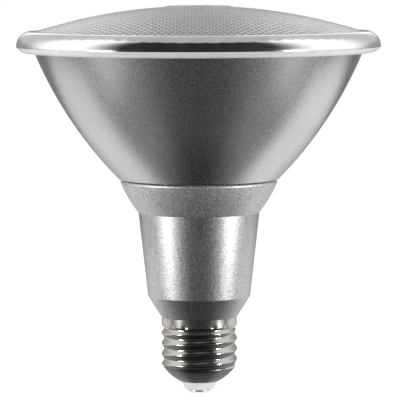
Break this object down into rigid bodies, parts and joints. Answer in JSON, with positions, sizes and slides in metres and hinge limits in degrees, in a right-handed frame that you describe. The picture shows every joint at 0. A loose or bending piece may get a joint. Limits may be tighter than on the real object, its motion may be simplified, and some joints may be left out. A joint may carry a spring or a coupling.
{
  "type": "par spotlight bulb",
  "caption": "Reflector spotlight bulb with a patterned domed lens, bright front ring, flared silver bowl, slim neck and a standard screw cap.",
  "frame": {"origin": "centre of the centre contact's flat face, on the lamp's axis", "axes": "+Z along the lamp's axis from the contact to the lens; +X to the right and +Y away from the viewer, as seen in the picture"},
  "size_m": [0.1246, 0.1246, 0.1328],
  "materials": {
    "clear_lens": "patterned, clear",
    "ring_metal": "polished",
    "silver_lacquer": "satin metallic lacquer",
    "silver_plastic": "satin metallic lacquer",
    "cap_metal": "nickel plated",
    "cap_white": "satin",
    "contact_metal": "nickel plated",
    "silicone": "matt",
    "thermal_grey": "matt",
    "white_board": "white solder mask",
    "package_yellow": "satin",
    "white_nylon": "satin",
    "screw_steel": "zinc plated",
    "green_board": "satin",
    "ferrite": "matt",
    "bobbin_black": "satin",
    "winding_tape": "gloss",
    "can_sleeve": "gloss",
    "film_box": "gloss",
    "chip_black": "matt",
    "choke_sleeve": "satin",
    "resistor_coat": "satin",
    "varistor_coat": "satin",
    "lead_insulation": "satin"
  },
  "bodies": {
    "root": {"lens": "clear_lens", "front_ring": "ring_metal", "lens_gasket": "silicone", "reflector_bowl": "silver_lacquer", "neck_housing": "silver_plastic", "screw_shell": "cap_metal", "cap_insulator": "cap_white", "centre_contact": "contact_metal", "thermal_pad": "thermal_grey", "led_board": "white_board", "led_packages": "package_yellow", "board_connector": "white_nylon", "board_screws": "screw_steel", "housing_screws": "screw_steel", "driver_board": "green_board", "transformer_core": "ferrite", "transformer_bobbin": "bobbin_black", "transformer_winding": "winding_tape", "input_capacitor": "can_sleeve", "output_capacitor": "can_sleeve", "film_capacitor": "film_box", "fuse_resistor": "resistor_coat", "filter_choke": "choke_sleeve", "driver_chip": "chip_black", "bridge_rectifier": "chip_black", "surge_varistor": "varistor_coat", "output_leads": "lead_insulation", "live_lead": "lead_insulation", "neutral_lead": "lead_insulation"}
  },
  "joints": []
}
